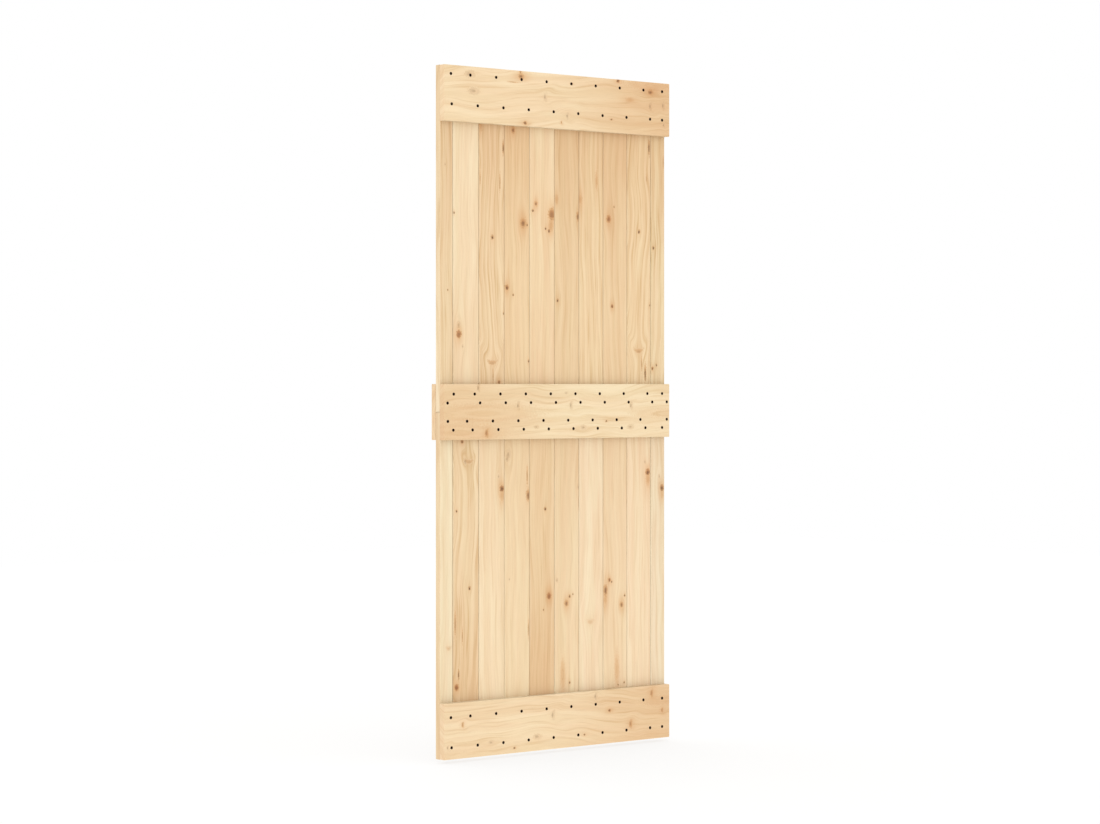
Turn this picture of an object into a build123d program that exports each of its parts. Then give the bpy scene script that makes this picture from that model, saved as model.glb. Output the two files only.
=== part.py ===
from build123d import *
from math import radians, tan
import os

# Sliding door leaf of planks: two half-height panels of tongued and grooved boards,
# one on the other, held by wide rails across the top, the joint and the bottom.
# Millimetres. +Z is up, +X runs to the right as seen from the front, which faces -Y.
# The origin is where the hangers grip: on the front face of the top rail, at its middle.

# Leaf
leaf_width = 900.0
upper_panel_height = 1050.0
lower_panel_height = 1050.0
panel_joint_gap = 1.0  # between the upper boards' feet and the lower boards' heads

# Rails
rail_thickness = 21.5
top_rail_height = 170.0
mid_rail_height = 170.0
bottom_rail_height = 170.0
rail_arris_radius = 2.5  # eased edges of the planed rails

# Boards
board_thickness = 21.5
board_cover = 98.6  # width that a whole board covers
first_board_cover = 49.5  # the left board is half a board
last_board_setback = 3.2  # the boards stop short of the rails' right ends
narrowest_board = 25.0  # a last board under this width is shared with its neighbour
shoulder_gap = 0.9  # between one board and the next
face_bevel = 2.0  # makes the fine V joint on the front
back_bevel = 0.8
outer_arris_radius = 2.0  # outer edges of the first and the last board
end_bevel = 0.8  # sawn ends, rubbed over

# Tongue and groove
tongue_thickness = 6.0
tongue_length = 7.0
tongue_tip_bevel = 1.0
tongue_side_clearance = 0.2  # on each face of the tongue
tongue_end_clearance = 1.0
tongue_from_back = 9.0  # from the board's back face to the middle of the tongue

# Screws. Each row: height above the rail's lower edge, then how far the screw stands
# from the board's left edge on the first board, on a whole board and on the last board.
top_rail_screws = ((143.0, 26.0, 50.0, 30.0), (51.5, 29.0, 78.0, 30.0))
mid_rail_screws = (
    (139.5, 36.5, 66.5, 30.0),
    (112.5, 13.5, 87.0, 50.0),
    (57.0, 14.5, 37.5, 50.0),
    (30.5, 35.0, 58.5, 30.0),
)
bottom_rail_screws = ((127.0, 26.0, 50.0, 30.0), (36.0, 28.5, 78.0, 30.0))
screw_edge_distance = 8.5  # least distance from a screw to its board's right edge
screw_head_diameter = 9.4
screw_head_clearance = 0.3  # all round the head
screw_shank_diameter = 4.6
screw_seat_angle = 90.0  # of the countersink
seat_sides = 16  # each countersink is a cone of flats, as there are many of them

# Heights and depths that follow from these
leaf_top = top_rail_height / 2
leaf_height = upper_panel_height + lower_panel_height
leaf_bottom = leaf_top - leaf_height
panel_joint = leaf_top - upper_panel_height
board_front = rail_thickness
board_back = board_front + board_thickness
tongue_middle = board_back - tongue_from_back
groove_width = tongue_thickness + 2 * tongue_side_clearance
groove_depth = tongue_length - shoulder_gap + tongue_end_clearance
seat_mouth_radius = screw_head_diameter / 2 + screw_head_clearance
seat_throat_radius = screw_shank_diameter / 2
seat_depth = (seat_mouth_radius - seat_throat_radius) / tan(radians(screw_seat_angle / 2))
leaf_left = -leaf_width / 2
leaf_right = leaf_width / 2


def board_seams():
    # The boards' edges from left to right: the first board, whole ones, and the rest.
    seams = [leaf_left, leaf_left + first_board_cover]
    last_edge = leaf_right - last_board_setback
    whole_boards = int((last_edge - seams[-1]) // board_cover)
    for _ in range(whole_boards):
        seams.append(seams[-1] + board_cover)
    if last_edge - seams[-1] < narrowest_board:
        seams[-1] = (seams[-2] + last_edge) / 2
    seams.append(last_edge)
    return seams


def board_section(left, right, grooved, tongued):
    # Plan of one board. A grooved left edge takes the neighbour's tongue.
    left_edge = left + shoulder_gap / 2 if grooved else left
    right_edge = right - shoulder_gap / 2 if tongued else right
    width = right_edge - left_edge
    middle = Pos((left_edge + right_edge) / 2, board_front + board_thickness / 2)
    section = middle * Rectangle(width, board_thickness)

    corners = section.vertices()
    outer = []
    if not grooved:
        outer += corners.sort_by(Axis.X)[:2]
    if not tongued:
        outer += corners.sort_by(Axis.X)[-2:]
    if outer:
        section = fillet(outer, outer_arris_radius)
    bevels = ((board_front, face_bevel), (board_back, back_bevel))
    for face, bevel in bevels:
        for edge, joined in ((left_edge, grooved), (right_edge, tongued)):
            if joined:
                near = section.vertices().sort_by_distance((edge, face))[0]
                section = chamfer(near, bevel)

    from_edge = (Align.MIN, Align.CENTER)
    if grooved:
        groove = Rectangle(groove_depth, groove_width, align=from_edge)
        section -= Pos(left_edge, tongue_middle) * groove
    if tongued:
        tongue = Rectangle(tongue_length, tongue_thickness, align=from_edge)
        tongue = chamfer(tongue.vertices().group_by(Axis.X)[-1], tongue_tip_bevel)
        section += Pos(right_edge, tongue_middle) * tongue
    return section


def board(left, right, grooved, tongued, foot, head):
    # One board from its foot to its head, with the long edges of its ends rubbed over.
    solid = extrude(Pos(0, 0, foot) * board_section(left, right, grooved, tongued), amount=head - foot)
    side = chamfer(Rectangle(board_thickness, head - foot).vertices(), end_bevel)
    side_middle = (left, board_front + board_thickness / 2, (foot + head) / 2)
    across = Plane(side_middle, x_dir=(0, 1, 0), z_dir=(1, 0, 0))
    return solid & extrude(across * side, amount=right + tongue_length - left)


def boards(name, foot, head):
    # A panel: every board of it, named from left to right.
    seams = board_seams()
    last = len(seams) - 2
    panel = {}
    for place, (left, right) in enumerate(zip(seams, seams[1:])):
        grooved = place > 0
        tongued = place < last
        panel[f"{name}_{place + 1:02d}"] = board(left, right, grooved, tongued, foot, head)
    return panel


def rail(bottom, height, at_back=False):
    # A planed rail the width of the leaf. Every edge is eased but those against the boards.
    front = board_back if at_back else 0
    middle = Pos(0, front + rail_thickness / 2, bottom + height / 2)
    solid = middle * Box(leaf_width, rail_thickness, height)
    faces = solid.faces().sort_by(Axis.Y)
    shown = faces[-1] if at_back else faces[0]
    return fillet(solid.edges().filter_by(Axis.Y) + shown.edges(), rail_arris_radius)


def screw_places(rows, rail_bottom):
    # Where the screws enter a rail's front: one in each board for every row.
    seams = board_seams()
    edges = list(zip(seams, seams[1:]))
    places = []
    for height, on_first, on_whole, on_last in rows:
        offsets = [on_first] + [on_whole] * (len(edges) - 2) + [on_last]
        for (left, right), offset in zip(edges, offsets):
            x = left + min(offset, right - left - screw_edge_distance)
            places.append((x, rail_bottom + height))
    return places


def screwed_rail(bottom, height, screw_rows):
    # A front rail, countersunk for its screws.
    mouth = RegularPolygon(seat_mouth_radius, seat_sides)
    throat = Pos(0, 0, seat_depth) * RegularPolygon(seat_throat_radius, seat_sides)
    seat = Rot(-90, 0, 0) * loft([mouth, throat], ruled=True)
    places = screw_places(screw_rows, bottom)
    return rail(bottom, height) - [Pos(x, 0, z) * seat for x, z in places]


def rails():
    mid_rail_bottom = panel_joint - mid_rail_height / 2
    return {
        "top_rail": screwed_rail(leaf_top - top_rail_height, top_rail_height, top_rail_screws),
        "mid_rail_front": screwed_rail(mid_rail_bottom, mid_rail_height, mid_rail_screws),
        "mid_rail_back": rail(mid_rail_bottom, mid_rail_height, at_back=True),
        "bottom_rail": screwed_rail(leaf_bottom, bottom_rail_height, bottom_rail_screws),
    }


def leaf():
    pieces = boards("upper_board", panel_joint + panel_joint_gap / 2, leaf_top)
    pieces.update(boards("lower_board", leaf_bottom, panel_joint - panel_joint_gap / 2))
    pieces.update(rails())
    return pieces


os.makedirs("parts", exist_ok=True)
for name, solid in leaf().items():
    export_step(solid, f"parts/{name}.step")
    size = solid.bounding_box().size
    print(f"{name}: {size.X:.1f} x {size.Y:.1f} x {size.Z:.1f} mm, {solid.volume / 1000:.0f} cm3")
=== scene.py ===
from math import radians
import bpy
import numpy as np
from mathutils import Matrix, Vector


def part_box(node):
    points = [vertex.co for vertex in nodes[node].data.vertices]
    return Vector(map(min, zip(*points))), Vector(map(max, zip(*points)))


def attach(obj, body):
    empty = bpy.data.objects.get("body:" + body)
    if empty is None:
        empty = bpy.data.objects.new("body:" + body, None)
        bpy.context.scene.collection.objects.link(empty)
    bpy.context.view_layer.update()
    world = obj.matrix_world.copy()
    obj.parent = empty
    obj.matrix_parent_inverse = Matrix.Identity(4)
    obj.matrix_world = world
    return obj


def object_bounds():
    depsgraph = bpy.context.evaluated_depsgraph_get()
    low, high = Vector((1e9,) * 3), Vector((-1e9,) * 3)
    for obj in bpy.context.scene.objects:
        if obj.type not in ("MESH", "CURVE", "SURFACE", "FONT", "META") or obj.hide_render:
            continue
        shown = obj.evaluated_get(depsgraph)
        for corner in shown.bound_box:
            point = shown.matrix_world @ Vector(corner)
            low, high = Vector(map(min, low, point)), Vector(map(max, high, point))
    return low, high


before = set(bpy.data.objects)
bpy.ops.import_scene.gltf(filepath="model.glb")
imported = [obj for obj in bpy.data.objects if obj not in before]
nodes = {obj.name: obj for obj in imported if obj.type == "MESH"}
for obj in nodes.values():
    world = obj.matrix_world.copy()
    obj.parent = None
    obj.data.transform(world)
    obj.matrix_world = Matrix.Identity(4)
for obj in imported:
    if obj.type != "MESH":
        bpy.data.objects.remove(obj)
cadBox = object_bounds()
leafBottom = cadBox[0][2]
print("frame loaded:", len(nodes), "solids")


def linearColour(hexCode):
    # sRGB hex to linear: a straight line near black, above it a power of 2.4
    srgb = np.array([int(hexCode[place:place + 2], 16) for place in (0, 2, 4)]) / 255
    linear = np.where(srgb <= 0.04045, srgb / 12.92, ((srgb + 0.055) / 1.055) ** 2.4)
    return (*linear.tolist(), 1.0)


def addNode(tree, kind, inputs=None, stops=None, **settings):
    # Adds a node with its settings. Inputs go by name, or by place among those in use, and
    # take a value, a socket, or a node, which gives its first output in use. Stops fill a ramp.
    node = tree.nodes.new(kind if kind.startswith("Node") else "ShaderNode" + kind)
    for name, value in settings.items():
        setattr(node, name, value)
    used = [socket for socket in node.inputs if socket.enabled]
    for key, value in (inputs or {}).items():
        socket = used[key] if isinstance(key, int) else next(s for s in used if s.name == key)
        if isinstance(value, bpy.types.Node):
            value = next(s for s in value.outputs if s.enabled)
        if isinstance(value, bpy.types.NodeSocket):
            tree.links.new(value, socket)
        else:
            socket.default_value = value
    if stops:
        elements = node.color_ramp.elements
        for place, value in stops[2:]:
            elements.new(place)
        for element, (place, value) in zip(elements, stops):
            element.position = place
            element.color = linearColour(value) if isinstance(value, str) else (value, value, value, 1)
    return node


# Settings that many nodes share: an eased step, and one colour laid over another
eased = {"interpolation_type": "SMOOTHSTEP"}
tinted = {"data_type": "RGBA", "blend_type": "MULTIPLY"}


# Kinds of knot and mark. Stretch is length for width, Sag bows it like a smile, Soft blurs its edge,
# Redness colours its body, Heart and Rim darken it, Blush tints the wood round it, and Bend draws the
# grain in. All but the stretch are shares of one, and what a kind leaves out is plain.
markKinds = {
    "pin": dict(Stretch=1.3, Soft=0.45, Redness=0.45, Heart=1.0, Rim=0.3, Blush=0.16, Bend=0.7),
    "red": dict(Stretch=1.2, Soft=0.45, Redness=0.85, Heart=0.38, Rim=0.05, Blush=0.35, Bend=0.85),
    "smoky": dict(Stretch=1.25, Soft=0.7, Redness=0.5, Heart=0.45, Blush=0.35, Bend=0.85),
    "orange": dict(Stretch=1.3, Soft=0.6, Redness=0.7, Heart=0.3, Blush=0.25, Bend=0.85),
    "brown": dict(Stretch=1.15, Soft=0.35, Redness=0.6, Heart=0.7, Rim=0.15, Blush=0.3, Bend=0.85),
    "grey": dict(Stretch=1.7, Soft=0.75, Redness=0.1, Heart=0.3, Rim=0.2, Blush=0.04, Bend=0.9),
    "spike": dict(Stretch=0.45, Sag=0.25, Soft=0.75, Redness=0.08, Heart=0.38, Rim=0.22, Blush=0.04, Bend=0.7),
    "ghost": dict(Stretch=0.6, Sag=0.3, Soft=0.9, Redness=0.25, Heart=0.06, Rim=0.05, Blush=0.1, Bend=0.6),
    "smear": dict(Stretch=2.3, Soft=0.6, Redness=0.6, Heart=0.5, Rim=0.1, Blush=0.15, Bend=0.6),
    "rust": dict(Stretch=0.5, Sag=0.2, Soft=0.7, Redness=0.5, Heart=0.2, Rim=0.08, Blush=0.2, Bend=0.7),
    "eye": dict(Stretch=0.4, Sag=0.32, Soft=0.6, Redness=0.4, Heart=0.16, Rim=0.1, Blush=0.08, Bend=0.6),
    "streak": dict(Stretch=11.0, Soft=0.7, Redness=0.5, Heart=0.3),
    "bark": dict(Stretch=6.0, Soft=0.7, Redness=0.6, Heart=0.75, Rim=0.1, Bend=0.5),
    "resin": dict(Stretch=5.0, Soft=0.8, Redness=0.3, Blush=0.12),
    "tan": dict(Stretch=7.0, Soft=0.3, Redness=0.15),
    "blush": dict(Stretch=2.0, Soft=0.8, Redness=0.2, Blush=0.25, Bend=0.3),
}
plainMark = dict(Stretch=1.0, Sag=0.0, Soft=0.0, Redness=0.0, Heart=0.0, Rim=0.0, Blush=0.0, Bend=0.0)

# What all of them share, in radii
knotShape = {
    "ragged": 1.3,  # the outline's noise
    "hardEdge": (0.95, 1.05),  # where the body starts to fade and is gone
    "softOutside": 0.5,  # how far softness spreads outwards, for one inwards
    "rim": (0.45, 0.95),  # where it starts and is full
    "heart": (0.15, 0.7),  # how far it is full, and where it ends
    "heartDrop": 0.3,  # how much the heart leans below the middle
    "haloAlong": 0.6,  # the smaller, the further the blush and the bend reach along the grain
    "blushFall": -0.35,  # exponents, times the square of the distance
    "bendFall": -0.13,
}


def knotTree(shape):
    # One knot or mark in a board's face: a spot, round or drawn out along the grain, with its own
    # heart and rim, a breath of colour about it, and grain that flows round it. Marks are
    # chained: each adds to the sums of the ones before. Places and the radius are in mm, and
    # distances inside the group are in radii.
    tree = bpy.data.node_groups.new("pineMark", "ShaderNodeTree")
    for name in ("Across", "Along", "Wobble", "Grain", "Red", "Dark", "Core", "Rings",
                 "At Across", "At Along", "Radius", *plainMark):
        tree.interface.new_socket(name, in_out="INPUT", socket_type="NodeSocketFloat")
    for name in ("Grain", "Red", "Dark", "Core", "Rings"):
        tree.interface.new_socket(name, in_out="OUTPUT", socket_type="NodeSocketFloat")
    given = addNode(tree, "NodeGroupInput").outputs

    # Distance from the middle in radii, on an ellipse that may sag like a smile
    offAcross = addNode(tree, "Math", {0: given["Across"], 1: given["At Across"]}, operation="SUBTRACT")
    sideways = addNode(tree, "Math", {0: offAcross, 1: given["Radius"]}, operation="DIVIDE")
    sagged = addNode(tree, "Math", {0: sideways, 1: sideways}, operation="MULTIPLY")
    sagged = addNode(tree, "Math", {0: sagged, 1: given["Sag"]}, operation="MULTIPLY")
    offAlong = addNode(tree, "Math", {0: given["Along"], 1: given["At Along"]}, operation="SUBTRACT")
    lengthways = addNode(tree, "Math", {0: offAlong, 1: given["Radius"]}, operation="DIVIDE")
    lengthways = addNode(tree, "Math", {0: lengthways, 1: sagged}, operation="SUBTRACT")
    lengthways = addNode(tree, "Math", {0: lengthways, 1: given["Stretch"]}, operation="DIVIDE")
    away = addNode(tree, "CombineXYZ", {0: sideways, 1: lengthways})
    away = addNode(tree, "VectorMath", {0: away}, operation="LENGTH")
    rough = addNode(tree, "Math", {0: given["Wobble"], 1: shape["ragged"], 2: 1.0}, operation="MULTIPLY_ADD")
    rough = addNode(tree, "Math", {0: rough, 1: away}, operation="MULTIPLY")

    # Body with a hard or a soft edge, heart a little below the middle, rim, and the glow round all
    fading, gone = shape["hardEdge"]
    inside = addNode(tree, "Math", {0: fading, 1: given["Soft"]}, operation="SUBTRACT")
    outside = addNode(tree, "Math", {0: given["Soft"], 1: shape["softOutside"], 2: gone},
                      operation="MULTIPLY_ADD")
    core = addNode(tree, "MapRange", {0: rough, 1: inside, 2: outside, 3: 1.0, 4: 0.0}, **eased)
    start, full = shape["rim"]
    rim = addNode(tree, "MapRange", {0: rough, 1: start, 2: full}, **eased)
    rim = addNode(tree, "Math", {0: rim, 1: core}, operation="MULTIPLY")
    full, end = shape["heart"]
    heart = addNode(tree, "Math", {0: lengthways, 1: shape["heartDrop"], 2: rough}, operation="MULTIPLY_ADD")
    heart = addNode(tree, "MapRange", {0: heart, 1: full, 2: end, 3: 1.0, 4: 0.0}, **eased)
    haloLength = addNode(tree, "Math", {0: lengthways, 1: shape["haloAlong"]}, operation="MULTIPLY")
    halo = addNode(tree, "CombineXYZ", {0: sideways, 1: haloLength})
    halo = addNode(tree, "VectorMath", {0: halo, 1: halo}, operation="DOT_PRODUCT").outputs["Value"]
    glow = addNode(tree, "Math", {0: halo, 1: shape["blushFall"]}, operation="MULTIPLY")
    glow = addNode(tree, "Math", {0: glow}, operation="EXPONENT")
    swirl = addNode(tree, "Math", {0: halo, 1: shape["bendFall"]}, operation="MULTIPLY")
    swirl = addNode(tree, "Math", {0: swirl}, operation="EXPONENT")

    # The grain lines are drawn towards the middle, so the ones beside it part
    pull = addNode(tree, "Math", {0: offAcross, 1: given["Bend"]}, operation="MULTIPLY")
    pull = addNode(tree, "Math", {0: pull, 1: swirl}, operation="MULTIPLY")
    grain = addNode(tree, "Math", {0: given["Grain"], 1: pull}, operation="SUBTRACT")
    red = addNode(tree, "Math", {0: core, 1: given["Redness"], 2: given["Red"]}, operation="MULTIPLY_ADD")
    red = addNode(tree, "Math", {0: glow, 1: given["Blush"], 2: red}, operation="MULTIPLY_ADD")
    dark = addNode(tree, "Math", {0: rim, 1: given["Rim"], 2: given["Dark"]}, operation="MULTIPLY_ADD")
    dark = addNode(tree, "Math", {0: heart, 1: given["Heart"], 2: dark}, operation="MULTIPLY_ADD")
    cores = addNode(tree, "Math", {0: given["Core"], 1: core}, operation="MAXIMUM")
    ring = addNode(tree, "Math", {0: rough, 1: given["Radius"]}, operation="MULTIPLY")
    rings = addNode(tree, "Math", {0: ring, 1: core, 2: given["Rings"]}, operation="MULTIPLY_ADD")
    addNode(tree, "NodeGroupOutput", {"Grain": grain, "Red": red, "Dark": dark, "Core": cores,
                                      "Rings": rings})
    return tree


markTree = knotTree(knotShape)


# What every board and rail shares. Strengths are shares of one, and tints multiply the board's tone.
pineLook = {
    "marks": (),
    "ends": (0.0, 0.0),  # how much darker and browner towards the foot and the head, or left and right: on boards partly painted shade by the rails and partly tone, on rails their own tone
    "endRamps": ((0.7, 0.0), (0.3, 1.0)),  # where that starts and is full, as shares of the length
    "pink": 0.5,  # broad clouds of pink
    "canals": 0.5,  # short dark resin canals
    "bandTint": (0.93, 0.89, 0.83, 1.0),  # bands of several years
    "lateTint": (0.80, 0.67, 0.50, 1.0),  # late wood of one year
    "streakTint": (0.84, 0.75, 0.62, 1.0),
    "pinkTint": (0.98, 0.92, 0.90, 1.0),
    "canalTint": (0.72, 0.60, 0.48, 1.0),
    "endToneAndShadeTint": (0.93, 0.86, 0.80, 1.0),  # of the darker, browner ends, on boards partly painted shade by the rails
    "endTint": (0.99, 0.96, 0.96, 1.0),  # of end grain
    "paintedSideShading": (1.1, 1.16, 1.22, 1.0),  # painted light: paler narrow sides and V joint walls, lifting the shade in the joints
    "redStops": ((0.0, 1.0), (0.3, "F5E6D8"), (0.6, "E8CFB4"), (1.0, "CDA684")),
    "darkColour": "4C300F",
    # One year: early wood from 0, late wood at the end
    "yearStops": ((0.0, 0.25), (0.06, 0.0), (0.45, 0.08), (0.84, 0.8), (0.94, 1.0), (1.0, 0.25)),
    "unevenYears": 5.0,  # how many years the bands push the rings about
    "lateInBands": (1.3, 0.3),  # late wood's strength that goes with the bands, and what is everywhere
    "fibreTint": (0.93, 1.07),
    # Roughness of the planed face, and what each part adds to it. Relief is in mm.
    "roughness": 0.66,
    "rougher": {"late": -0.10, "core": -0.12, "end": 0.18},
    "relief": {"late": 0.05, "fibre": 0.16, "canal": -0.08, "core": 0.08},
    "reliefStrength": 0.8,
    # How fine each noise is, per mm across the grain, along it and in from the face, then its
    # detail and roughness. Fibres and resin canals are really finer, and are drawn so that they show.
    "noises": {
        "ripple": ((0.012, 0.0065, 0.012), 1.0, 0.5),  # 80 mm across, 150 mm long
        "wander": ((0.004, 0.0026, 0.004), 1.0, 0.5),  # 250 mm across, 400 mm long
        "wobble": ((0.2, 0.2, 0.2), 2.0, 0.5),  # 5 mm, on the outlines of knots
        "fibre": ((1.2, 0.016, 1.2), 3.0, 0.6),  # 0.8 mm across, 60 mm long
        "canal": ((1.9, 0.075, 1.9), 1.0, 0.5),  # 0.5 mm across, 13 mm long
        "cloud": ((0.03, 0.0035, 0.03), 2.0, 0.5),  # 30 mm across, 300 mm long
    },
    "streakScale": (0.18, 0.004, 5.0),  # 5.5 mm across, 250 mm long, and its step from seed to seed
    # Where each starts and is full: of its noise, and for the sides, of how far they are turned
    "steps": {
        "band": (0.32, 0.68), "streak": (0.48, 0.72), "canal": (0.69, 0.78), "cloud": (0.36, 0.64),
        "fibre": (0.25, 0.75), "side": (0.4, 0.7),
    },
}

# How the boards were cut. In mm: the pith's place across the board and in from its face, how far it
# wanders and the grain ripples, and the widths of a year and of a band. The lean is mm per mm.
cuts = {
    "plain": dict(pith=(150, 90), lean=0.012, wander=34, ripple=2, ringWidth=3, bandWidth=20,
                  bandStrength=0.55, lateStrength=0.13, streakStrength=0.4),
    "quiet": dict(pith=(-70, 60), lean=0.014, wander=46, ripple=3, ringWidth=3.6, bandWidth=17,
                  bandStrength=0.6, lateStrength=0.14, streakStrength=0.5),
    "lined": dict(pith=(-90, 50), lean=0.012, wander=40, ripple=3, ringWidth=5.5, bandWidth=13,
                  bandStrength=0.85, lateStrength=0.22, streakStrength=0.85),
    "honey": dict(pith=(150, 60), lean=0.02, wander=60, ripple=9, ringWidth=6.5, bandWidth=12,
                  bandStrength=0.9, lateStrength=0.2, streakStrength=0.9),
    "wavy": dict(pith=(160, 60), lean=0.022, wander=60, ripple=8, ringWidth=6, bandWidth=12,
                 bandStrength=0.9, lateStrength=0.21, streakStrength=0.9),
    "rail": dict(pith=(90, 130), lean=0.028, wander=62, ripple=8, ringWidth=6.5, bandWidth=22,
                 bandStrength=0.75, lateStrength=0.06, streakStrength=0.6, pink=0.6),
}


def pineMaterial(name, upright, corner, reach, wood):
    # Scots pine, planed and bare: pale cream to honey with darker late wood lines, a little
    # pink near the heart, red-brown knots, and a dull satin face that shows the grain in relief.
    # The growth rings are cylinders about a pith that wanders, so faces and ends agree.
    material = bpy.data.materials.new(name)
    material.use_nodes = True
    tree = material.node_tree
    tree.nodes.clear()

    # Millimetres from the piece's corner: across the grain, along it and in from the face. The
    # seed sets each piece's noise far from the next one's.
    place = addNode(tree, "TexCoord")
    shifted = addNode(tree, "VectorMath", {0: place.outputs["Object"], 1: corner}, operation="SUBTRACT")
    scaled = addNode(tree, "VectorMath", {0: shifted, "Scale": 1000.0}, operation="SCALE")
    split = addNode(tree, "SeparateXYZ", {0: scaled}).outputs
    across, along, depth = (split[0], split[2], split[1]) if upright else (split[2], split[0], split[1])
    wood = {**pineLook, **cuts[wood["cut"]], **wood}
    seeded = addNode(tree, "CombineXYZ", {0: across, 1: along, 2: depth})
    apart = (0.0, 3000.0 * wood["seed"], 170.0 * wood["seed"])
    seeded = addNode(tree, "VectorMath", {0: seeded, 1: apart}, operation="ADD")

    # The noises, and the knots and marks, which draw the rippled grain to them
    noise = {}
    for kind, (scale, detail, roughness) in wood["noises"].items():
        spread = addNode(tree, "Mapping", {"Vector": seeded, "Scale": scale})
        noise[kind] = addNode(tree, "TexNoise", {"Vector": spread, "Scale": 1.0, "Detail": detail,
                                                 "Roughness": roughness})
    rippled = addNode(tree, "Math", {0: noise["ripple"], 1: 2 * wood["ripple"], 2: across},
                      operation="MULTIPLY_ADD")
    wobble = addNode(tree, "Math", {0: noise["wobble"], 1: 0.5}, operation="SUBTRACT")
    sums = {"Grain": rippled, "Red": 0.0, "Dark": 0.0, "Core": 0.0, "Rings": 0.0}
    for atAcross, atAlong, radius, kind in wood["marks"]:
        mark = addNode(tree, "Group", {
            "Across": across, "Along": along, "Wobble": wobble, **sums, "At Across": atAcross,
            "At Along": atAlong, "Radius": radius, **plainMark, **markKinds[kind],
        }, node_tree=markTree)
        sums = {total: mark.outputs[total] for total in sums}

    # Growth rings: distance from the pith, which wanders and leans along the tree
    fromPith = addNode(tree, "Math", {0: sums["Grain"], 1: wood["pith"][0]}, operation="SUBTRACT")
    inFromPith = addNode(tree, "Math", {0: depth, 1: wood["pith"][1]}, operation="SUBTRACT")
    radial = addNode(tree, "CombineXYZ", {0: fromPith, 1: inFromPith})
    radial = addNode(tree, "VectorMath", {0: radial}, operation="LENGTH")
    wander = noise["wander"]
    radial = addNode(tree, "Math", {0: wander, 1: wood["wander"], 2: radial}, operation="MULTIPLY_ADD")
    radial = addNode(tree, "Math", {0: along, 1: wood["lean"], 2: radial}, operation="MULTIPLY_ADD")
    radial = addNode(tree, "Mix", {0: sums["Core"], 1: radial, 2: sums["Rings"]}, data_type="FLOAT")

    # Bands of several years, the years themselves, uneven in width, and streaks of one or two
    bands = addNode(tree, "Math", {0: radial, 1: 1 / wood["bandWidth"], 2: 7.3 * wood["seed"]},
                    operation="MULTIPLY_ADD")
    bands = addNode(tree, "TexNoise", {"W": bands, "Scale": 1.0, "Detail": 1.0}, noise_dimensions="1D")
    years = addNode(tree, "Math", {0: bands, 1: wood["unevenYears"]}, operation="MULTIPLY")
    years = addNode(tree, "Math", {0: radial, 1: 1 / wood["ringWidth"], 2: years}, operation="MULTIPLY_ADD")
    year = addNode(tree, "Math", {0: years}, operation="FRACT")
    late = addNode(tree, "ValToRGB", {0: year}, stops=wood["yearStops"])
    streaks = addNode(tree, "CombineXYZ", {0: radial, 1: along, 2: wood["seed"]})
    streaks = addNode(tree, "Mapping", {"Vector": streaks, "Scale": wood["streakScale"]})
    streaks = addNode(tree, "TexNoise", {"Vector": streaks, "Scale": 1.0, "Detail": 2.0, "Roughness": 0.6})
    patterns = {"band": bands, "streak": streaks, "canal": noise["canal"], "cloud": noise["cloud"]}
    steps = {}
    for kind, pattern in patterns.items():
        start, full = wood["steps"][kind]
        steps[kind] = addNode(tree, "MapRange", {0: pattern, 1: start, 2: full}, **eased)

    # Colour: the board's own tone, tinted by what lies there. Late wood shows most in dark bands.
    withBands, everywhere = wood["lateInBands"]
    uneven = addNode(tree, "Math", {0: steps["band"], 1: withBands, 2: everywhere}, operation="MULTIPLY_ADD")
    uneven = addNode(tree, "Math", {0: uneven, 1: late}, operation="MULTIPLY")
    colour = linearColour(wood["tone"])
    for part, strength, tint in (
        (steps["band"], wood["bandStrength"], wood["bandTint"]),
        (uneven, wood["lateStrength"], wood["lateTint"]),
        (steps["streak"], wood["streakStrength"], wood["streakTint"]),
        (steps["cloud"], wood["pink"], wood["pinkTint"]),
        (steps["canal"], wood["canals"], wood["canalTint"]),
    ):
        share = addNode(tree, "Math", {0: part, 1: strength}, operation="MULTIPLY")
        colour = addNode(tree, "Mix", {0: share, 1: colour, 2: tint}, **tinted)

    # Darker and browner towards the ends, where the share may pass one, on boards partly painted shade by the
    # rails and partly tone, and the fibres' own light and dark
    endToneAndShade = 0.0
    foot, length = reach
    for (none, full), strength in zip(wood["endRamps"], wood["ends"]):
        clear, brown = foot + none * length, foot + full * length
        share = addNode(tree, "MapRange", {0: along, 1: clear, 2: brown}, **eased)
        endToneAndShade = addNode(tree, "Math", {0: share, 1: strength, 2: endToneAndShade}, operation="MULTIPLY_ADD")
    colour = addNode(tree, "Mix", {0: endToneAndShade, 1: colour, 2: wood["endToneAndShadeTint"]}, **tinted, clamp_factor=False)
    start, full = wood["steps"]["fibre"]
    darkest, palest = wood["fibreTint"]
    fibreTint = addNode(tree, "MapRange", {0: noise["fibre"], 1: start, 2: full, 3: darkest, 4: palest})
    redTint = addNode(tree, "ValToRGB", {0: sums["Red"]}, stops=wood["redStops"])
    for tint in (fibreTint, redTint):
        colour = addNode(tree, "Mix", {0: 1.0, 1: colour, 2: tint}, **tinted)
    dark = linearColour(wood["darkColour"])
    colour = addNode(tree, "Mix", {0: sums["Dark"], 1: colour, 2: dark}, data_type="RGBA")

    # Painted light: the narrow sides and the walls of the V joints are made paler against their shade, and end
    # grain drinks more light. The end grain comes last, so that turned is its share below.
    facing = addNode(tree, "SeparateXYZ", {0: place.outputs["Normal"]}).outputs
    start, full = wood["steps"]["side"]
    for axis, tint in ((0, wood["paintedSideShading"]), (2, wood["endTint"])):
        turned = addNode(tree, "Math", {0: facing[axis if upright else 2 - axis]}, operation="ABSOLUTE")
        turned = addNode(tree, "MapRange", {0: turned, 1: start, 2: full}, **eased)
        colour = addNode(tree, "Mix", {0: turned, 1: colour, 2: tint}, **tinted)

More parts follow.
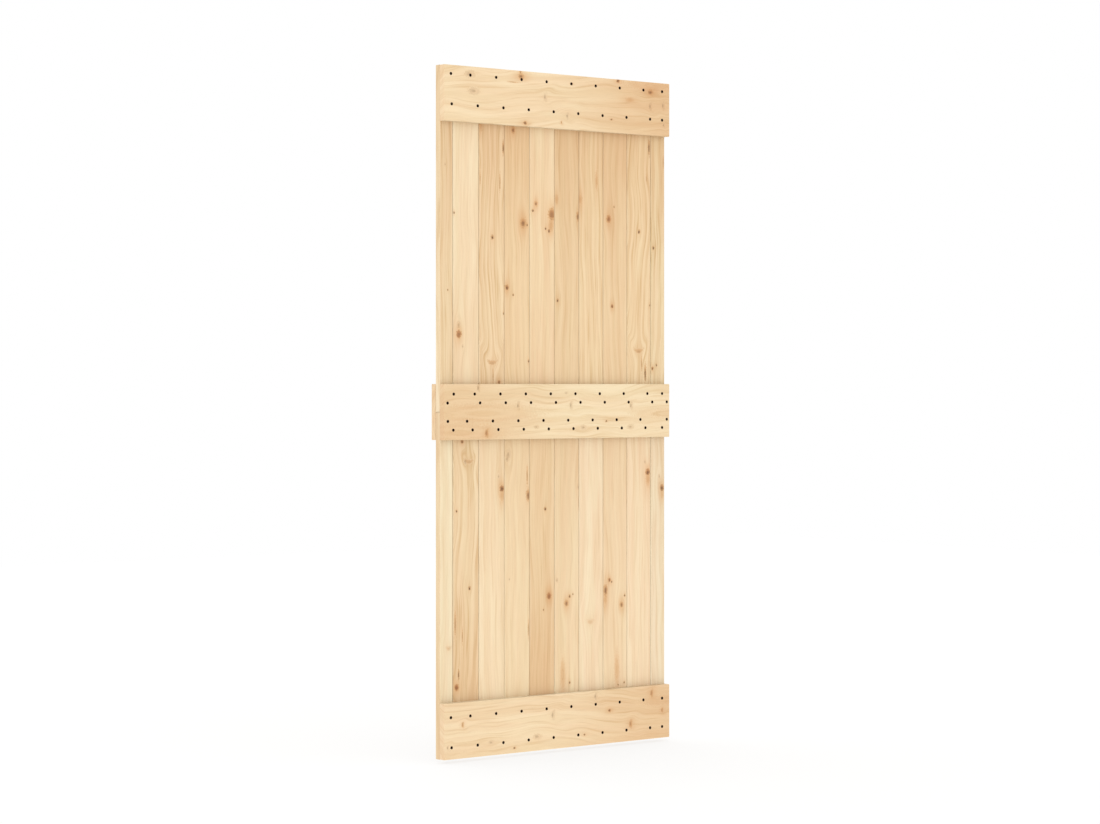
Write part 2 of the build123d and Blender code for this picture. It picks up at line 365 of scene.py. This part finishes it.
    # Late wood and knots are harder, so they plane smoother and stand up. The bump's distance
    # makes a height of one a millimetre.
    shine, relief = wood["roughness"], 0.0
    parts = {"late": late, "core": sums["Core"], "end": turned, "fibre": noise["fibre"],
             "canal": steps["canal"]}
    for kind, rougher in wood["rougher"].items():
        shine = addNode(tree, "Math", {0: parts[kind], 1: rougher, 2: shine}, operation="MULTIPLY_ADD")
    for kind, height in wood["relief"].items():
        relief = addNode(tree, "Math", {0: parts[kind], 1: height, 2: relief}, operation="MULTIPLY_ADD")
    bump = addNode(tree, "Bump", {"Height": relief, "Distance": 0.001, "Strength": wood["reliefStrength"]})
    surface = addNode(tree, "BsdfPrincipled", {"Base Color": colour, "Roughness": shine, "Normal": bump,
                                               "IOR": 1.5})
    addNode(tree, "OutputMaterial", {"Surface": surface})
    return material


# Each board's own wood. Marks: across from its left edge, height over the leaf's foot, radius, kind.
boardWood = {
    # upper_board_01's narrow sides get a weaker painted light
    "upper_board_01": dict(tone="F1D8B0", seed=1, cut="lined", ends=(0, 1), paintedSideShading=(1.04, 1.1, 1.18, 1.0),
        marks=((20, 1800, 3, "grey"), (30, 1420, 2.5, "pin"))),
    "upper_board_02": dict(tone="F8E4BF", seed=2, cut="plain", ends=(0.7, 0.4), pink=0.8, marks=(
        (4, 1655, 3, "pin"), (22, 1287, 10, "red"), (21, 1316, 6, "grey"), (36, 1250, 3, "grey"))),
    "upper_board_03": dict(tone="F2D7AE", seed=3, cut="honey", ends=(0, 1.1), marks=(
        (6, 1926, 7, "blush"), (51, 1585, 5.5, "pin"), (93, 1862, 3.5, "bark"), (80, 1755, 2.5, "streak"),
        (4, 1765, 2, "streak"), (95, 1352, 3, "pin"), (51, 1200, 17, "eye"), (54, 1160, 2.5, "streak"),
        (77, 1141, 5, "brown"))),
    "upper_board_04": dict(tone="F1D5AA", seed=4, cut="quiet", ends=(0.2, 1.5), bandStrength=0.55, marks=(
        (33, 1918, 7, "smoky"), (9, 1432, 7.5, "brown"), (33, 1410, 3, "pin"), (72, 1633, 12, "smoky"),
        (88, 1627, 2.5, "pin"), (94, 1206, 3.5, "pin"))),
    "upper_board_05": dict(tone="F4DAB1", seed=5, cut="plain", ends=(0.4, 0.1), pink=0.9, marks=(
        (12, 1673, 4, "pin"), (24, 1695, 6, "smoky"), (62, 1619, 3.5, "pin"), (76, 1612, 4.5, "pin"),
        (87, 1665, 14, "orange"), (84, 1628, 8, "blush"))),
    "upper_board_06": dict(tone="EED2A7", seed=6, cut="quiet", ends=(0.1, 1.4), marks=(
        (8, 1712, 6, "blush"), (11, 1396, 5, "pin"), (93, 1662, 6.5, "smear"))),
    "upper_board_07": dict(tone="F3D9AF", seed=7, cut="lined", ends=(0, 1.3), marks=(
        (4, 1715, 7, "blush"), (71, 1776, 5, "resin"))),
    "upper_board_08": dict(tone="EFD2A7", seed=8, cut="quiet", ends=(0.1, 1.5), marks=(
        (22, 1658, 9.5, "orange"), (44, 1697, 2.5, "pin"), (36, 1382, 5.5, "brown"))),
    "upper_board_09": dict(tone="F4DAB0", seed=9, cut="wavy", ends=(0.2, 1.2), marks=(
        (49, 1622, 5, "pin"), (48, 1240, 18, "eye"), (60, 1200, 2.5, "streak"), (75, 1172, 5, "bark"),
        (80, 1795, 1.5, "streak"), (91, 1895, 4.5, "bark"), (95, 1387, 3, "pin"))),
    "upper_board_10": dict(tone="F2DCB3", seed=10, cut="wavy", ends=(0.2, 1.7), pink=0.8, marks=(
        (11, 1572, 5, "pin"), (7, 1185, 5, "brown"), (24, 1196, 3.5, "pin"), (53, 1850, 2, "streak"))),
    # lower_board_01's narrow sides get painted shade, darker instead of paler
    "lower_board_01": dict(tone="F5E5C1", seed=11, cut="plain", ends=(0.5, 0.3), pink=0.7, bandStrength=0.35,
        paintedSideShading=(0.94, 0.86, 0.8, 1.0), marks=((33, 334, 10, "ghost"),)),
    "lower_board_02": dict(tone="F3DBB3", seed=12, cut="wavy", ends=(1.5, 0.3), marks=(
        (34, 960, 5, "brown"), (60, 898, 16, "eye"), (46, 900, 6, "grey"), (13, 749, 3.5, "pin"),
        (62, 513, 5, "pin"), (8, 410, 4, "streak"), (35, 370, 2, "streak"), (13, 214, 8, "red"),
        (21, 254, 3, "bark"))),
    "lower_board_03": dict(tone="F8E3BE", seed=13, cut="quiet", ends=(0.4, 0.8), marks=(
        (75, 852, 4, "grey"), (88, 814, 9, "brown"), (88, 788, 7, "blush"))),
    "lower_board_04": dict(tone="F5DEB6", seed=14, cut="plain", ends=(0.4, 0.7), marks=(
        (14, 920, 9, "grey"), (9, 905, 6, "grey"), (88, 853, 3, "streak"), (92, 792, 8, "smear"),
        (18, 534, 2.5, "grey"), (93, 380, 3, "streak"))),
    "lower_board_05": dict(tone="EED1A6", seed=15, cut="quiet", ends=(1.3, 0), marks=(
        (61, 747, 5, "pin"), (76, 475, 9, "red"), (54, 433, 2.5, "pin"))),
    "lower_board_06": dict(tone="F3DCB4", seed=16, cut="plain", ends=(0.1, 0.8), pink=0.8, marks=(
        (96, 812, 5, "grey"), (97, 765, 2.5, "streak"), (60, 470, 4, "pin"), (73, 476, 2.5, "pin"),
        (47, 449, 8, "smoky"), (9, 523, 4, "grey"), (60, 200, 3.5, "pin"), (32, 225, 11, "resin"))),
    "lower_board_07": dict(tone="F7E2BE", seed=17, cut="plain", ends=(0.2, 0.2), pink=0.9, bandStrength=0.4,
        marks=((46, 385, 15, "ghost"),)),
    "lower_board_08": dict(tone="F4DBB4", seed=18, cut="quiet", ends=(0, 0.6), marks=(
        (25, 514, 5.5, "brown"), (34, 508, 3, "pin"), (9, 484, 8, "smear"), (8, 452, 7, "blush"),
        (88, 462, 3.5, "pin"), (75, 434, 8, "smoky"), (55, 230, 10, "resin"), (86, 186, 3, "pin"),
        (61, 180, 2.5, "pin"))),
    "lower_board_09": dict(tone="F9E3BF", seed=19, cut="quiet", ends=(0.4, 0.6), pink=0.7, bandStrength=0.5,
        marks=((74, 887, 3.5, "grey"), (86, 853, 9, "brown"), (87, 826, 8, "blush"))),
    "lower_board_10": dict(tone="F5E4C3", seed=20, cut="quiet", ends=(0.3, 0.7), pink=0.8, marks=(
        (36, 839, 4, "grey"), (47, 802, 9, "brown"), (47, 776, 6, "blush"))),
}

# Rails: marks go by height over the rail's lower edge, then from its left end.
railWood = {
    "top_rail": dict(tone="F7E0B9", seed=21, cut="rail", ends=(0.2, 1.7), pith=(260, 100), marks=(
        (146, 98, 10, "grey"), (96, 113, 11, "grey"), (133, 263, 2, "streak"), (152, 295, 9, "smoky"),
        (166, 292, 6, "rust"), (95, 389, 13, "spike"), (10, 311, 6, "brown"), (20, 454, 5, "rust"),
        (41, 478, 12, "spike"), (41, 657, 3, "pin"), (165, 684, 6, "brown"), (108, 734, 7, "blush"),
        (137, 820, 9, "smoky"), (92, 818, 12, "spike"), (98, 872, 12, "spike"), (36, 875, 7, "spike"),
        (143, 497, 3, "pin"), (160, 850, 18, "tan"))),
    "mid_rail_front": dict(tone="F6E1BA", seed=22, cut="rail", ends=(1.1, 0.1), pith=(240, 90), marks=(
        (80, 150, 28, "tan"), (22, 60, 26, "tan"), (75, 880, 18, "tan"), (103, 283, 13, "spike"),
        (103, 492, 13, "spike"), (102, 738, 13, "spike"), (142, 474, 4, "grey"), (20, 161, 12, "rust"),
        (158, 130, 12, "spike"), (37, 355, 5, "grey"), (34, 543, 7, "grey"), (53, 636, 3.5, "pin"),
        (34, 736, 7, "grey"))),
    "mid_rail_back": dict(tone="F0D5AC", seed=23, cut="rail", pith=(70, -60), marks=(
        (60, 210, 8, "red"), (110, 640, 6, "brown"))),
    "bottom_rail": dict(tone="F6E0BA", seed=24, cut="rail", ends=(0.4, 1.6), pith=(-50, 100), marks=(
        (102, 70, 8, "rust"), (106, 420, 14, "spike"), (104, 649, 5, "brown"), (152, 592, 12, "spike"),
        (146, 824, 12, "rust"), (89, 868, 8, "rust"), (55, 736, 13, "rust"), (44, 359, 8, "grey"),
        (35, 547, 3, "pin"), (16, 269, 4, "pin"), (37, 14, 8, "spike"), (40, 180, 6, "grey"),
        (122, 895, 17, "tan"))),
}

for woods, upright in ((boardWood, True), (railWood, False)):
    for name, wood in woods.items():
        low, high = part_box(name)
        if upright:
            corner = (low.x, low.y, leafBottom)
            reach = ((low.z - leafBottom) * 1000, (high.z - low.z) * 1000)  # start and length in mm
        else:
            corner = (low.x, low.y, low.z)
            reach = (0, (high.x - low.x) * 1000)
        pine = pineMaterial("planedPine_" + name, upright, corner, reach, wood)
        nodes[name].data.materials.clear()
        nodes[name].data.materials.append(pine)
print("pine on", len(boardWood), "boards and", len(railWood), "rails")


# Countersunk screws. Sizes in mm. Rows as in the boards' plan: height over the rail's lower edge,
# then the distance from the board's left edge on the first board, on a whole one and on the last.
screwLook = {
    "headRadius": 4.88,
    "sink": 0.05,  # the head's face below the wood
    "rim": ((0.8, 0.0), (0.95, 0.02), (1.0, 0.1)),  # shares of the radius, and depths below the face
    "rimStep": (0.05, 0.22),  # how far in from the rim the cone starts, and how deep
    "coneDepth": 2.6,
    "shankRadius": 2.2,
    "recessReach": 2.6,
    "recessHalfWidth": 0.6,
    "recessDepth": 1.8,
    "recessTaper": (1.15, 0.8),  # its depth at the middle and what it loses by the tips, as shares
    "sideSoftness": 0.12,
    "tipSoftness": 0.5,
    "faceRings": (0.3, 0.2, 9),  # radius of the first, how far the last is past the recess, how many
    "spokes": 48,
    "turn": 2.4,  # radians from one head to the next, so that no two stop alike
    "sharpAngle": 38,  # degrees, above which an edge shades sharp
    "edgeDistance": 8.5,  # least distance from a screw to its board's right edge
    "seamGap": 0.9,  # between two boards
    "colours": ("160A03", "271207"),
    "roughness": (0.55, 0.75),
    "crystalSize": 0.25,
    "crystalRelief": 0.04,
    "patchSize": 2.0,
    "rows": {
        "top_rail": ((143, 26, 50, 30), (51.5, 29, 78, 30)),
        "mid_rail_front": (
            (139.5, 36.5, 66.5, 30), (112.5, 13.5, 87, 50), (57, 14.5, 37.5, 50), (30.5, 35, 58.5, 30)),
        "bottom_rail": ((127, 26, 50, 30), (36, 28.5, 78, 30)),
    },
}


def screwSurface(look):
    # A head turned about its axis: the radius goes out over the face, then in down the cone, and
    # the depth below the wood is the sink, plus the recess: the most of two crossed slots, each
    # a smooth step of the distance from its middle line and from its tips, shallower outwards.
    first, past, rings = look["faceRings"]
    face = np.linspace(first, look["recessReach"] + past, rings)
    share, rimDepth = np.transpose(look["rim"])
    stepIn, stepDown = look["rimStep"]
    head, cone = look["headRadius"], look["coneDepth"] - look["sink"]
    radius = np.concatenate([face, share * head, [head - stepIn, look["shankRadius"]]])
    depth = np.concatenate([0 * face, rimDepth, [stepDown, cone]])
    angle = np.linspace(0, 2 * np.pi, look["spokes"], endpoint=False)
    x = radius[:, None] * np.cos(angle)
    z = radius[:, None] * np.sin(angle)
    arms = []
    for one, other in ((x, z), (z, x)):
        soft = look["sideSoftness"]
        beside = np.clip((look["recessHalfWidth"] + soft - np.abs(one)) / (2 * soft), 0, 1)
        within = np.clip((look["recessReach"] - np.abs(other)) / look["tipSoftness"], 0, 1)
        arms.append(beside * within)
    cross = np.maximum(*arms)
    cross = cross * cross * (3 - 2 * cross)
    deepest, loss = look["recessTaper"]
    slope = np.clip(deepest - np.hypot(x, z) / look["recessReach"] * loss, 0, 1)
    y = look["sink"] + depth[:, None] + look["recessDepth"] * cross * slope
    middle = [[0, look["sink"] + look["recessDepth"], 0], [0, look["coneDepth"] - look["sink"], 0]]
    points = np.concatenate([np.stack([x, y, z], -1).reshape(-1, 3), middle])

    rings, spokes = x.shape
    here = np.arange(spokes)
    after = (here + 1) % spokes
    inner = (np.arange(rings - 1) * spokes)[:, None]
    outer = inner + spokes
    quads = np.stack([inner + here, inner + after, outer + after, outer + here], -1).reshape(-1, 4)
    # The two points at the middle close the recess's floor and the shank's end
    floorPoint = np.full(spokes, rings * spokes)
    endRing = (rings - 1) * spokes
    floorFan = np.stack([floorPoint, after, here], -1)
    endFan = np.stack([floorPoint + 1, endRing + here, endRing + after], -1)
    return points, quads, np.concatenate([floorFan, endFan])


def boardEdges(look):
    # The leaf's left side, the middle of the gap left of each further board, and the right side
    boxes = [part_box(f"upper_board_{place:02d}") for place in range(1, 11)]
    middles = [box[0].x * 1000 - look["seamGap"] / 2 for box in boxes[1:]]
    return [boxes[0][0].x * 1000, *middles, boxes[-1][1].x * 1000]


def makeScrews(name, rail, look, material):
    edges = boardEdges(look)
    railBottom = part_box(rail)[0].z * 1000
    places = []
    for height, onFirst, onWhole, onLast in look["rows"][rail]:
        offsets = [onFirst] + [onWhole] * (len(edges) - 3) + [onLast]
        for left, right, offset in zip(edges, edges[1:], offsets):
            places.append((left + min(offset, right - left - look["edgeDistance"]), 0, railBottom + height))
    places = np.array(places)
    turns = np.arange(len(places))[:, None] * look["turn"]
    points, quads, fans = screwSurface(look)
    x, y, z = points.T
    cos, sin = np.cos(turns), np.sin(turns)
    turned = np.stack([x * cos - z * sin, y + 0 * cos, x * sin + z * cos], -1)
    allPoints = (turned + places[:, None, :]).reshape(-1, 3) / 1000
    shift = (np.arange(len(places)) * len(points))[:, None, None]
    faces = (quads + shift).reshape(-1, 4).tolist() + (fans + shift).reshape(-1, 3).tolist()
    mesh = bpy.data.meshes.new(name)
    mesh.from_pydata(allPoints.tolist(), [], faces)
    mesh.polygons.foreach_set("use_smooth", np.ones(len(mesh.polygons), bool))
    mesh.set_sharp_from_angle(angle=radians(look["sharpAngle"]))
    mesh.materials.append(material)
    screws = bpy.data.objects.new(name, mesh)
    bpy.context.scene.collection.objects.link(screws)
    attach(screws, "root")


def phosphateMaterial(look):
    # Steel screws, blackened in a phosphate bath: near black, with a dull brown cast in patches
    # and a fine crystal grain that breaks up any shine.
    material = bpy.data.materials.new("phosphatedSteel")
    material.use_nodes = True
    tree = material.node_tree
    tree.nodes.clear()
    place = addNode(tree, "TexCoord").outputs["Object"]
    fine, broad = 1000 / look["crystalSize"], 1000 / look["patchSize"]
    crystals = addNode(tree, "TexNoise", {"Vector": place, "Scale": fine, "Detail": 2.0})
    patches = addNode(tree, "TexNoise", {"Vector": place, "Scale": broad, "Detail": 1.0})
    darker, browner = look["colours"]
    smoothest, roughest = look["roughness"]
    colour = addNode(tree, "ValToRGB", {0: patches}, stops=((0.3, darker), (0.7, browner)))
    shine = addNode(tree, "MapRange", {0: crystals, 1: 0.3, 2: 0.7, 3: smoothest, 4: roughest})
    relief = look["crystalRelief"] / 1000
    bump = addNode(tree, "Bump", {"Height": crystals, "Distance": relief, "Strength": 1.0})
    surface = addNode(tree, "BsdfPrincipled", {"Base Color": colour, "Roughness": shine, "Normal": bump,
                                               "Specular IOR Level": 0.1})
    addNode(tree, "OutputMaterial", {"Surface": surface})
    return material


phosphate = phosphateMaterial(screwLook)
pieces = {"top_screws": "top_rail", "mid_screws": "mid_rail_front", "bottom_screws": "bottom_rail"}
for name, rail in pieces.items():
    makeScrews(name, rail, screwLook, phosphate)
print("screws set")


# Studio: a white dome and a soft lamp from the left front, as in the photograph. Metres and watts.
studio = {
    "domeStrength": 1.0,
    "bounceShare": 0.28,  # how much of their light dome and floor give to later bounces
    "domeBounces": 2.5,  # rays past this many bounces are the later ones, from the dome
    "floorBounces": 1.5,  # and from the floor
    "lampPower": 24.0,
    "lampSize": 2.6,
    "lampPlace": (-4.2, -4.4, -0.9),
    "lampAim": (0.0, 0.0, -0.95),
    "floorHalf": 9.0,
    "floorGap": 0.012,  # the leaf hangs clear of the floor
    "floorColour": "E4E2DF",
    "floorGlow": 0.78,
    # The floor as the camera sees it: just white in the open, greyer in the shadow
    "seenColour": "8C8B89",
    "seenGlow": 0.76,
}


def makeStudio(look):
    world = bpy.data.worlds.new("whiteDome")
    bpy.context.scene.world = world
    world.use_nodes = True
    tree = world.node_tree
    tree.nodes.clear()
    rays = addNode(tree, "LightPath").outputs
    seen = addNode(tree, "Math", {0: rays["Is Camera Ray"], 1: rays["Is Glossy Ray"]}, operation="MAXIMUM")
    seen = addNode(tree, "Math", {0: seen, 1: rays["Is Transmission Ray"]}, operation="MAXIMUM")
    later = addNode(tree, "Math", {0: rays["Ray Depth"], 1: look["domeBounces"]}, operation="GREATER_THAN")
    first, after = look["domeStrength"], look["domeStrength"] * look["bounceShare"]
    lit = addNode(tree, "Mix", {0: later, 1: first, 2: after}, data_type="FLOAT")
    strength = addNode(tree, "Mix", {0: seen, 1: lit, 2: 1.0}, data_type="FLOAT")
    dome = addNode(tree, "Background", {"Color": (1, 1, 1, 1), "Strength": strength})
    addNode(tree, "OutputWorld", {"Surface": dome})

    lamp = bpy.data.lights.new("softLamp", "AREA")
    lamp.shape = "SQUARE"
    lamp.size = look["lampSize"]
    lamp.energy = look["lampPower"]
    softLamp = bpy.data.objects.new("softLamp", lamp)
    bpy.context.scene.collection.objects.link(softLamp)
    place, aim = np.array(look["lampPlace"]), np.array(look["lampAim"])
    softLamp.location = place
    softLamp.rotation_euler = Vector(aim - place).to_track_quat("-Z", "Y").to_euler()

    half, level = look["floorHalf"], leafBottom - look["floorGap"]
    corners = [(-half, -half, level), (half, -half, level), (half, half, level), (-half, half, level)]
    mesh = bpy.data.meshes.new("floor")
    mesh.from_pydata(corners, [], [(0, 1, 2, 3)])
    floor = bpy.data.objects.new("floor", mesh)
    bpy.context.scene.collection.objects.link(floor)
    material = bpy.data.materials.new("paleFloor")
    material.use_nodes = True
    tree = material.node_tree
    tree.nodes.clear()
    rays = addNode(tree, "LightPath").outputs
    later = addNode(tree, "Math", {0: rays["Ray Depth"], 1: look["floorBounces"]}, operation="GREATER_THAN")
    first, after = look["floorGlow"], look["floorGlow"] * look["bounceShare"]
    lit = addNode(tree, "Mix", {0: later, 1: first, 2: after}, data_type="FLOAT")
    seen = rays["Is Camera Ray"]
    lit = addNode(tree, "Mix", {0: seen, 1: lit, 2: look["seenGlow"]}, data_type="FLOAT")
    own, shown = linearColour(look["floorColour"]), linearColour(look["seenColour"])
    colour = addNode(tree, "Mix", {0: seen, 1: own, 2: shown}, data_type="RGBA")
    paint = addNode(tree, "BsdfDiffuse", {"Color": colour})
    glow = addNode(tree, "Emission", {"Color": (1, 1, 1, 1), "Strength": lit})
    both = addNode(tree, "AddShader", {0: paint, 1: glow})
    addNode(tree, "OutputMaterial", {"Surface": both})
    mesh.materials.append(material)


makeStudio(studio)

# Camera: level, 8.7 m off, round to the leaf's left
view = {
    "lens": 91.14,
    "sensorWidth": 36.0,
    "shift": -0.02545,  # slides the picture instead of tilting the camera, so uprights stay upright
    "place": (-5.431, -6.765, -0.880),
    "turn": -38.543,
}
camera = bpy.data.cameras.new("camera")
camera.lens = view["lens"]
camera.sensor_width = view["sensorWidth"]
camera.shift_y = view["shift"]
cameraObject = bpy.data.objects.new("camera", camera)
bpy.context.scene.collection.objects.link(cameraObject)
cameraObject.location = view["place"]
cameraObject.rotation_euler = (radians(90), 0, radians(view["turn"]))
bpy.context.scene.camera = cameraObject
bpy.context.scene.view_settings.view_transform = "Standard"
print("studio and camera set")
